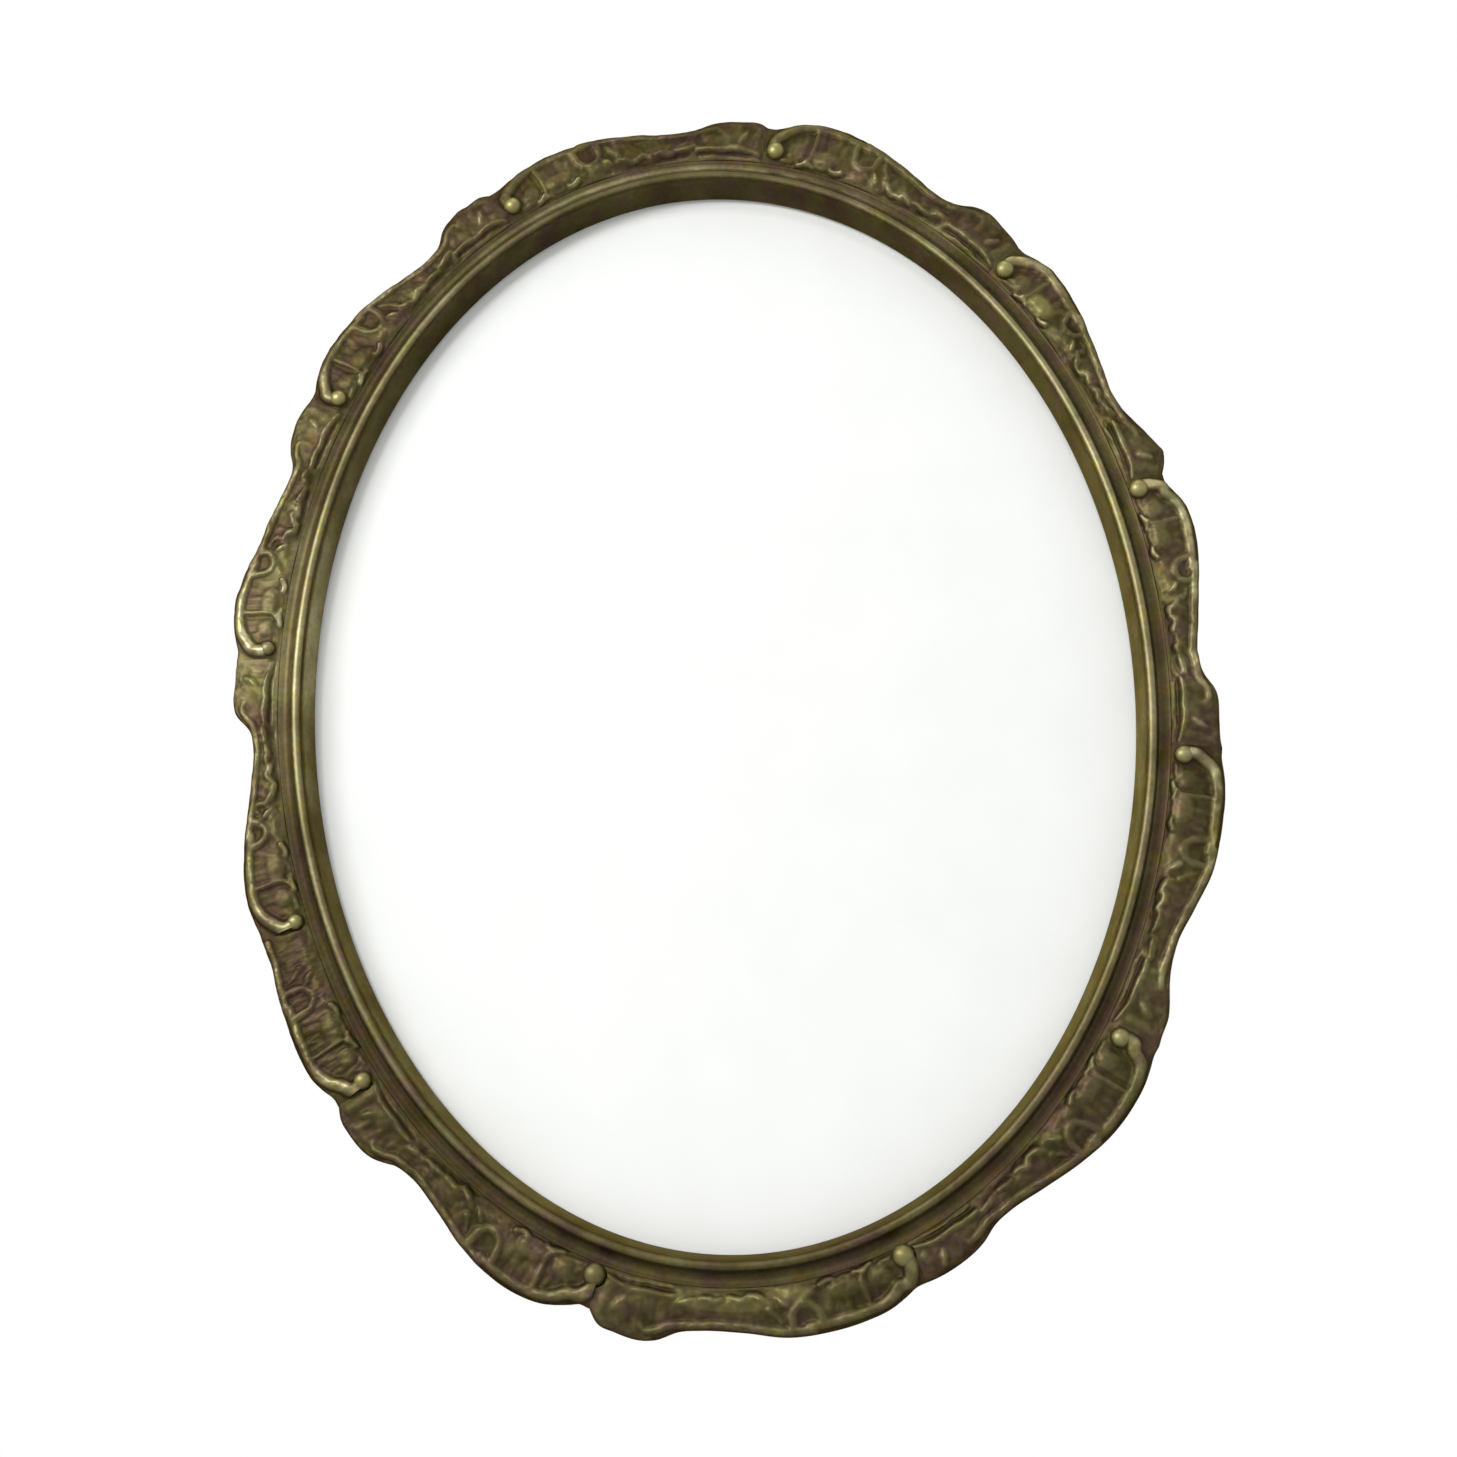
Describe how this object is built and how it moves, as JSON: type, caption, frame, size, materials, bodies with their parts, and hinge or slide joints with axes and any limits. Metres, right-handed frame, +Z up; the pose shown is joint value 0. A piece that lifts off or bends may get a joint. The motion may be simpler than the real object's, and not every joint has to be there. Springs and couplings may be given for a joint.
{
  "type": "oval picture frame",
  "caption": "Ornate oval wall frame for a portrait picture: glazed sight opening, pressed scroll border, backing board held by turn buttons, and a swinging ring hanger.",
  "frame": {"origin": "centre of the oval sight opening, on the plane where the glass meets the sight edge", "axes": "front faces -Y, back and wall towards +Y, +Z up along the oval's long axis"},
  "size_m": [0.3465, 0.0275, 0.4482],
  "materials": {
    "gilt_bronze": "aged bronze paint, rubbed to brass on the high spots, satin",
    "moulding_wood": "bronze-stained on the front, dark stained behind",
    "tongue_wood": "sawn",
    "glass": "clear",
    "card": "plain white card, matte",
    "hardboard": "pressed hardboard, matte",
    "brass": "worn satin",
    "steel": "dull zinc",
    "felt": "matte"
  },
  "bodies": {
    "frame_body": {"backing_board": "hardboard", "blank_card": "card", "glass_pane": "glass", "hanger_plate": "brass", "hanger_screws": "brass", "joint_tongues": "tongue_wood", "moulding_bottom": "moulding_wood", "moulding_left": "moulding_wood", "moulding_right": "moulding_wood", "moulding_top": "moulding_wood", "ornament_01": "gilt_bronze", "ornament_02": "gilt_bronze", "ornament_03": "gilt_bronze", "ornament_04": "gilt_bronze", "ornament_05": "gilt_bronze", "ornament_06": "gilt_bronze", "ornament_07": "gilt_bronze", "ornament_08": "gilt_bronze", "ornament_09": "gilt_bronze", "ornament_10": "gilt_bronze", "ornament_11": "gilt_bronze", "ornament_12": "gilt_bronze", "pivot_screws": "steel", "sight_slip": "gilt_bronze", "wall_bumpers": "felt"},
    "hanging_ring": {"hanging_ring": "brass"},
    "turn_button_right": {"turn_button_right": "brass"},
    "turn_button_top_right": {"turn_button_top_right": "brass"},
    "turn_button_top_left": {"turn_button_top_left": "brass"},
    "turn_button_left": {"turn_button_left": "brass"},
    "turn_button_bottom_left": {"turn_button_bottom_left": "brass"},
    "turn_button_bottom_right": {"turn_button_bottom_right": "brass"}
  },
  "joints": [
    {"name": "turn_right", "type": "hinge", "parent": "frame_body", "child": "turn_button_right", "pos_m": [0.1586, 0.0068, 0], "axis": [0, 1, 0], "range_deg": [-90, 90]},
    {"name": "turn_top_right", "type": "hinge", "parent": "frame_body", "child": "turn_button_top_right", "pos_m": [0.08069, 0.0068, 0.18041], "axis": [0, 1, 0], "range_deg": [-90, 90]},
    {"name": "turn_top_left", "type": "hinge", "parent": "frame_body", "child": "turn_button_top_left", "pos_m": [-0.08069, 0.0068, 0.18041], "axis": [0, 1, 0], "range_deg": [-90, 90]},
    {"name": "turn_left", "type": "hinge", "parent": "frame_body", "child": "turn_button_left", "pos_m": [-0.1586, 0.0068, 0], "axis": [0, 1, 0], "range_deg": [-90, 90]},
    {"name": "turn_bottom_left", "type": "hinge", "parent": "frame_body", "child": "turn_button_bottom_left", "pos_m": [-0.08069, 0.0068, -0.18041], "axis": [0, 1, 0], "range_deg": [-90, 90]},
    {"name": "turn_bottom_right", "type": "hinge", "parent": "frame_body", "child": "turn_button_bottom_right", "pos_m": [0.08069, 0.0068, -0.18041], "axis": [0, 1, 0], "range_deg": [-90, 90]},
    {"name": "ring_swing", "type": "hinge", "parent": "frame_body", "child": "hanging_ring", "pos_m": [0, 0.0095, 0.2086], "axis": [1, 0, 0], "range_deg": [0, 180]}
  ]
}
